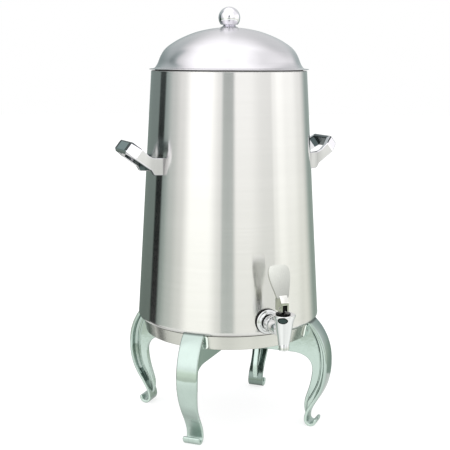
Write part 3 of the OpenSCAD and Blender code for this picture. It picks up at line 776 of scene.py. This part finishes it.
# Tones of the groove by the web, the heel, the upper groove and the bead. They are tuned leg by leg in place of
# reflections: the four castings are the same piece in the same plating.
for node, deg, mats in (("leg_front_left", -135, (MAT_LEG, MAT_LEG, MAT_LEG, MAT_LEG_PAINTED_DARK)),
                        ("leg_front_right", -45, (MAT_LEG, MAT_LEG, MAT_LEG, MAT_LEG_PAINTED_DARK)),
                        ("leg_rear_right", 45, (MAT_LEG_PAINTED_DARK, MAT_DEEP_HEEL_SHADE, MAT_LEG_PAINTED_DARK, MAT_LEG)),
                        ("leg_rear_left", 135, (MAT_LEG_PAINTED_DARK, MAT_LEG_HEEL_SHADE, MAT_LEG, MAT_LEG))):
    mats = [MAT_LEG, *mats, MAT_LEG_PAD_PAINTED_LIGHT]
    o = LEG.object(node + "_cast", mats, Matrix.Rotation(math.radians(deg), 4, "Z"))
    stands_for(weighted(o), node)


# ---------------------------------------------------------------- handles, flange, nut, lever

def handle_mesh():
    """One band of rounded section, out from the near foot, round the two corners and back to the far foot."""
    W, C, S = 39.5, math.cos(math.radians(38)), math.sin(math.radians(38))

    def lift(xp, y, zp):
        return np.array([150 + xp * C - zp * S, y, 440 + xp * S + zp * C])
    # stations: bottom and top middle points, the direction across (towards the outside of the loop), half widths
    foot = [((127, 418), (127, 445), 6.6, 7.0), ((131, 418), (131, 445.2), 6.4, 6.8), ((134, 418), (134, 445.3), 6.0, 5.9),
            ((137.6, 418), (137.6, 445.4), 5.4, 5.1), ((140.6, 418), (140.4, 445.5), 4.9, 4.7), ((142.4, 418.3), (142, 445.6), 4.6, 4.5),
            ((143.6, 419.3), (143.2, 445.8), 4.4, 4.4), ((145.4, 422.3), (144.4, 446.0), 4.3, 4.35), ((147.4, 425.6), (145.6, 446.3), 4.3, 4.3),
            ((149.0, 427.2), (146.6, 446.7), 4.3, 4.3), ((152.4, 429.4), (147.8, 447.3), 4.3, 4.3), ((156, 431.9), (149.2, 448.2), 4.3, 4.3)]
    yc = -(W - 4.3)
    # (inside point, outside point, bottom and top of the band there, how much the outer edge is broken)
    st = []
    for b, t, ins, out in foot:
        st.append(((b[0], b[1]), (t[0], t[1]), yc + ins, yc - out))
    # outlines in the sloping plane, outside and inside of the loop
    outer = [np.array(q) for q in ((6.0, -W), (21.9, -W), (39.2, -W + 11.6), (39.2, 0.0))]
    inner = [np.array(q) for q in ((6.0, -W + 8.3), (17.0, -W + 8.2), (31.8, -W + 17.0), (31.8, 0.0))]

    def bend(a, m, c, r, n):
        u, v = (a - m) / np.linalg.norm(a - m), (c - m) / np.linalg.norm(c - m)
        ang = math.acos(float(u @ v))
        cut = r / math.tan(ang / 2)
        p, q = m + u * cut, m + v * cut
        centre = m + (u + v) / np.linalg.norm(u + v) * (r / math.sin(ang / 2))
        a0, a1 = math.atan2(*(p - centre)[::-1]), math.atan2(*(q - centre)[::-1])
        d = (a1 - a0 + math.pi) % (2 * math.pi) - math.pi
        return [centre + r * np.array([math.cos(a0 + d * k / n), math.sin(a0 + d * k / n)]) for k in range(n + 1)]

    def edge(line, r1, r2):
        out = [line[0] + np.array([x, 0]) for x in (0.5, 3.5, 6.5, 8.5)]
        out += bend(line[0], line[1], line[2], r1, 8)
        mid = [line[1] * (1 - k) + line[2] * k for k in (0.35, 0.5, 0.65)]
        out += mid + bend(line[1], line[2], line[3], r2, 10)
        out += [np.array([line[2][0], y]) for y in (-19, -13, -6, 0)]
        return out
    O, I = edge(outer, 3.6, 2.4), edge(inner, 1.2, 1.2)
    pairs = list(zip(I, O))
    pairs = pairs + [(np.array([a[0], -a[1]]), np.array([b[0], -b[1]])) for a, b in pairs[-2::-1]]

    def ring(width, h, k):
        return fillet([(0, 0), (0.58 * width, 0.2 + 0.35 * k), (width, 0.8 + 2.1 * k), (width, h - 0.7 - 1.8 * k), (width - 0.7, h - 0.85 * k),
                       (0.55 * width, h), (0, h)], [1.2, 0, 1.7, 1.0, 0.9, 0, 1.2], 5)
    secs = []

    def foot_rings(sign, rows):
        for b, t, yi, yo in rows:
            b, t = np.array([b[0], 0, b[1]], float), np.array([t[0], 0, t[1]], float)
            h, w = float(np.linalg.norm(t - b)), abs(yo - yi)
            up = (t - b) / h
            secs.append([tuple(b + up * q[1] + np.array([0, sign * (yi - q[0]), 0])) for q in ring(w, h, 0.0)])
    foot_rings(1, st)
    for a, b in pairs:
        w = float(np.linalg.norm(b - a))
        k = min(1.0, max(0.0, (b[0] - 24) / 15))
        out = []
        for u, v in ring(w, 16.0, k):
            x, y = a + (b - a) * u / w
            zb, zt = -9.5 - 0.053 * (x + 10.6), 6.3 + 0.1 * max(0.0, x - 6)
            out.append(tuple(lift(x, y, zb + (zt - zb) * v / 16.0)))
        secs.append(out)
    foot_rings(-1, st[::-1])
    count = len(secs)

    def finish(i, k, n):
        """Zones of the loop: inner face, edge lines, grip and arms. Their tones stand in for reflections."""
        j = min(i, count - 2 - i)              # 0 at a foot, higher towards the middle of the grip
        turn, grip = j >= 24, j >= 36
        if k == n - 1:
            return 1 if j >= 26 or i < 7 else 0
        if 26 <= k <= 30 or (13 <= k <= 23 and turn):
            return 3
        if 28 <= j <= 38 and 11 <= k <= 13:
            return 3
        if 4 <= k <= 8 and 75 <= i <= 80:
            return 3
        if grip and (k == 24 or k == 25):
            return 1
        return 2 if grip and 7 <= k <= 23 else 0
    p = Parts()
    p.loft(secs, strip=finish)
    return p


HANDLE = handle_mesh()
for node, deg in (("handle_right", 0), ("handle_left", 180)):
    o = HANDLE.object(node + "_cast", [MAT_HANDLE, MAT_HANDLE_IN_SHADE, MAT_HANDLE_GRIP_SHADE, MAT_HANDLE_LINE_SHADE], Matrix.Rotation(math.radians(deg), 4, "Z"))
    stands_for(weighted(o), node)
stands_for(soften("tap_flange", "tap_flange_turned", [MAT_FLANGE], 0.35, 3, 24), "tap_flange")
stands_for(soften("coupling_nut", "coupling_nut_turned", [MAT_FLANGE], 0.35, 3, 26), "coupling_nut")
stands_for(soften("tap_bonnet", "tap_bonnet_moulded", [MAT_BLACK], 0.3, 3, 30), "tap_bonnet")


def lever_tone_zone(c, n):
    """Zones of the lever: paddle, its back, the block's slope, the block's other faces. Their tones are painted light
    and shade: lit and shaded copies of one chrome. Tones tuned by eye.
    """
    if c.z > 245 and n.y > 0.3:
        return 3
    if c.z > 250.5:
        return 0
    return 1 if n.z > 0.3 else 2


stands_for(soften("tap_lever", "tap_lever_cast", [MAT_PADDLE, MAT_SLOPE_LIT, MAT_BLOCK_SHADE, MAT_PADDLE_BACK_LIT], 0.7, 4, 30, mat_of=lever_tone_zone), "tap_lever")


# ---------------------------------------------------------------- tap body

def tap_body():
    p = Parts()
    Y = -205.8
    # nose with a flared rim, its chamber open at the top
    side = catmull([[8.25, 176], [9.9, 186], [11.85, 198], [13.3, 207.4], [14.2, 211.8], [15.5, 215.6], [16.6, 218.8], [17.07, 221.0]], 8)
    side = relax(side, 4)
    prof = [[0, 175.5], [7.7, 175.5], [8.1, 175.65]] + [list(q) for q in side] + [[17.07, 221.9], [16.88, 222.5], [16.5, 222.85], [15.9, 222.9]]
    prof += [[11.4, 222.6], [0, 222.6]]
    p.lathe(prof, 128, Matrix.Translation((0, Y, 0)))
    # spout tube
    prof = [[0, 180], [5.0, 180], [5.0, 168.5], [5.5, 168.0], [6.3, 167.8], [7.4, 167.85], [7.95, 168.3], [8.1, 169.0], [8.1, 179.6], [0, 181]]
    p.lathe(prof, 72, Matrix.Translation((0, Y - 0.6, 0)))
    # socket towards the wall
    sock = fillet([[9.4, 0], [12, 0], [12, 22], [0, 22], [0, 14], [9.4, 14]], [0.3, 0.8, 0, 0, 0, 0], 4)
    m = Matrix.Translation((0, -174.1, 198)) @ Matrix.Rotation(math.radians(90), 4, "X")
    p.lathe([list(q) for q in sock], 96, m)
    return stands_for(weighted(p.object("tap_body_cast", [MAT_TAP])), "tap_body")


tap_body()


# ---------------------------------------------------------------- floor, backdrop and light

def floor():
    p = Parts()
    p.lathe([[0, 0], [600, 0], [2000, 0], [9000, 0], [9000, -20], [0, -20]], 128)
    m, t, pr, obj = new_material("pale_floor")
    speck = t.noise(t.mapping(obj, (3, 3, 3)), 1.0, 3.0, 0.5)
    t.put(pr.inputs["Base Color"], t.scale_rgb((0.36, 0.36, 0.36), t.step(speck, 0.3, 0.7, 0.99, 1.01, smooth=False)))
    pr.inputs["Roughness"].default_value = 0.75
    pr.inputs["Specular IOR Level"].default_value = 0.1
    pr.inputs["Emission Color"].default_value = rgb(1, 1, 1)
    pr.inputs["Emission Strength"].default_value = 0.72
    o = p.object("floor", [m])
    o.location.z = -0.0002
    o.visible_glossy = False
    return o


floor()


def world():
    w = bpy.data.worlds.new("studio")
    bpy.context.scene.world = w
    w.use_nodes = True
    t = Tree(w.node_tree)
    out = t.add("ShaderNodeOutputWorld")
    d = t.add("ShaderNodeTexCoord").outputs["Generated"]
    # turned so that azimuth 0 is where the camera stands
    turn = t.add("ShaderNodeVectorRotate", rotation_type="Z_AXIS")
    t.put(turn.inputs["Vector"], d)
    turn.inputs["Angle"].default_value = CAM_AZ
    xyz = t.add("ShaderNodeSeparateXYZ")
    t.put(xyz.inputs[0], turn.outputs[0])
    deg = 180 / math.pi
    az = t.math("MULTIPLY", t.math("ARCTAN2", xyz.outputs[0], t.math("MULTIPLY", xyz.outputs[1], -1.0)), deg)
    el = t.math("MULTIPLY", t.math("ARCSINE", xyz.outputs[2]), deg)
    # softboxes in front with a gap where the camera is, and a dark card at the left
    mid = t.stair(az, 0.30, [(-119.5, -116.5, 0.0), (-104.5, -101.5, 0.46), (-101.5, -84, 0.80), (-84, -68, 1.08), (-68, -50, 1.72),
                             (-28, -10.5, 1.14), (-10.5, -8.7, 0.76), (4, 11, 1.38), (27, 50, 1.17), (61.8, 64.2, 1.40), (66, 74, 1.60), (78, 88, 1.48),
                             (100, 118, 1.22), (118, 146, 0.46)])
    fall = t.math("MAXIMUM", t.stair(el, 0.56, [(-17, -10, 0.76), (-10, -1, 0.96), (-1, 14, 1.16)]), t.step(az, 98, 118, 0.0, 0.86))
    mid = t.math("MULTIPLY", mid, fall)
    haze = t.math("MULTIPLY", t.step(t.math("ABSOLUTE", t.math("ADD", az, 111.0)), 9.5, 7.0), t.step(el, -4, 8, 0.0, 0.10))
    mid = t.math("ADD", mid, haze)
    back = t.math("MULTIPLY", t.step(t.math("ABSOLUTE", az), 150, 178, 0.0, 0.15), t.step(el, -4, 8))
    mid = t.math("ADD", mid, back)
    # higher up, then the light overhead
    high = t.stair(az, 0.88, [(-178, -150, 0.64), (-121, -117, 0.42), (-107, -95, 1.10), (-92, -70, 1.58), (-66, -56, 1.98), (-40, -20, 1.66), (28, 44, 1.40),
                              (50, 62, 1.17), (96, 128, 0.84), (150, 180, 0.88)])
    sky = t.blend(mid, high, t.step(el, 8, 30))
    lean = t.step(az, 40, 70, 0.0, 8.0)
    sky = t.blend(sky, 1.65, t.step(t.math("SUBTRACT", el, lean), 36, 66))
    # the camera and its stand
    spot = t.math("MULTIPLY", t.step(t.math("ABSOLUTE", t.math("ADD", az, 0.5)), 9.0, 6.0, 0.0, 0.85),
                  t.step(t.math("ABSOLUTE", t.math("ADD", el, -15.5)), 7.5, 5.5))
    leg = t.math("MULTIPLY", t.step(t.math("ABSOLUTE", t.math("ADD", az, 1.5)), 3.0, 1.0, 0.0, 0.06), t.math("MULTIPLY", t.step(el, 8, 4), t.step(el, -24, -18)))
    sky = t.math("MULTIPLY", sky, t.math("SUBTRACT", 1.0, t.math("MAXIMUM", spot, leg)))
    # cool in the dark parts, warm low down
    cool = t.mix(t.step(sky, 0.25, 1.0), rgb(0.86, 1.04, 1.02), rgb(1.0, 1.0, 1.0))
    warm = t.mix(t.step(el, -10, 4), rgb(0.98, 1.01, 0.91), rgb(1.0, 0.995, 1.0))
    sky_c = t.scale_rgb(t.mul_rgb(cool, warm), sky)
    # the table, seen in the metal
    table = t.stair(el, 1.02, [(-80, -66, 1.18), (-66, -50, 1.26), (-50, -32, 1.27), (-32, -22, 1.36), (-22, -16.5, 1.50)])
    card = t.math("MULTIPLY", t.math("SUBTRACT", t.step(az, -122, -118), t.step(az, -105, -101)), t.step(el, -50, -30, 0.0, 0.75))
    table = t.math("MULTIPLY", table, t.math("SUBTRACT", 1.0, card))
    side = t.stair(az, 0.45, [(-165, -150, 0.60), (-150, -125, 0.72), (-100, -80, 0.86), (-80, -50, 1.02), (-28, -8, 0.88), (8, 30, 0.95),
                              (60, 75, 0.98), (96, 120, 0.90), (120, 134, 0.60), (150, 175, 0.55)])
    table_c = t.scale_rgb(rgb(0.985, 1.0, 0.975)[:3], t.math("MULTIPLY", table, side))
    rim = t.math("ADD", t.step(az, -128, -112, -25.0, -16.3), t.step(az, 98, 112, 0.0, -5.0))
    low = t.step(t.math("SUBTRACT", el, rim), 0.35, -0.35)
    seen = t.mix(low, sky_c, table_c)
    bg = t.add("ShaderNodeBackground")
    t.put(bg.inputs["Color"], seen)
    bg.inputs["Strength"].default_value = 1.0
    # a plain white backdrop behind it all
    white = t.add("ShaderNodeBackground")
    white.inputs["Color"].default_value = rgb(1, 1, 1)
    white.inputs["Strength"].default_value = 1.0
    ray = t.add("ShaderNodeLightPath").outputs["Is Camera Ray"]
    mix = t.add("ShaderNodeMixShader")
    t.put(mix.inputs[0], ray)
    t.put(mix.inputs[1], bg.outputs[0])
    t.put(mix.inputs[2], white.outputs[0])
    t.put(out.inputs["Surface"], mix.outputs[0])
    w.cycles.sampling_method = "MANUAL"
    w.cycles.sample_map_resolution = 1024


world()


# ---------------------------------------------------------------- camera

def camera():
    c = bpy.data.cameras.new("camera")
    o = bpy.data.objects.new("camera", c)
    bpy.context.scene.collection.objects.link(o)
    pos = Vector((-0.6437, -1.4512, 0.5980))
    fwd = Vector((0.39671, 0.90210, -0.16977)).normalized()
    right = Vector((0.91564, -0.40199, 0.00355))
    right = (right - fwd * right.dot(fwd)).normalized()
    up = right.cross(fwd)
    fwd = (fwd - right * 0.00046 + up * 0.00041).normalized()
    right = (right - fwd * right.dot(fwd)).normalized()
    up = right.cross(fwd)
    m = Matrix((
        (right.x, up.x, -fwd.x, pos.x),
        (right.y, up.y, -fwd.y, pos.y),
        (right.z, up.z, -fwd.z, pos.z),
        (0, 0, 0, 1)))
    o.matrix_world = m
    c.sensor_fit = "HORIZONTAL"
    c.sensor_width = 36
    c.lens = 77.51
    c.clip_start = 0.05
    c.clip_end = 60
    bpy.context.scene.camera = o


camera()
bpy.context.scene.view_settings.view_transform = "Standard"
bpy.context.scene.view_settings.look = "None"
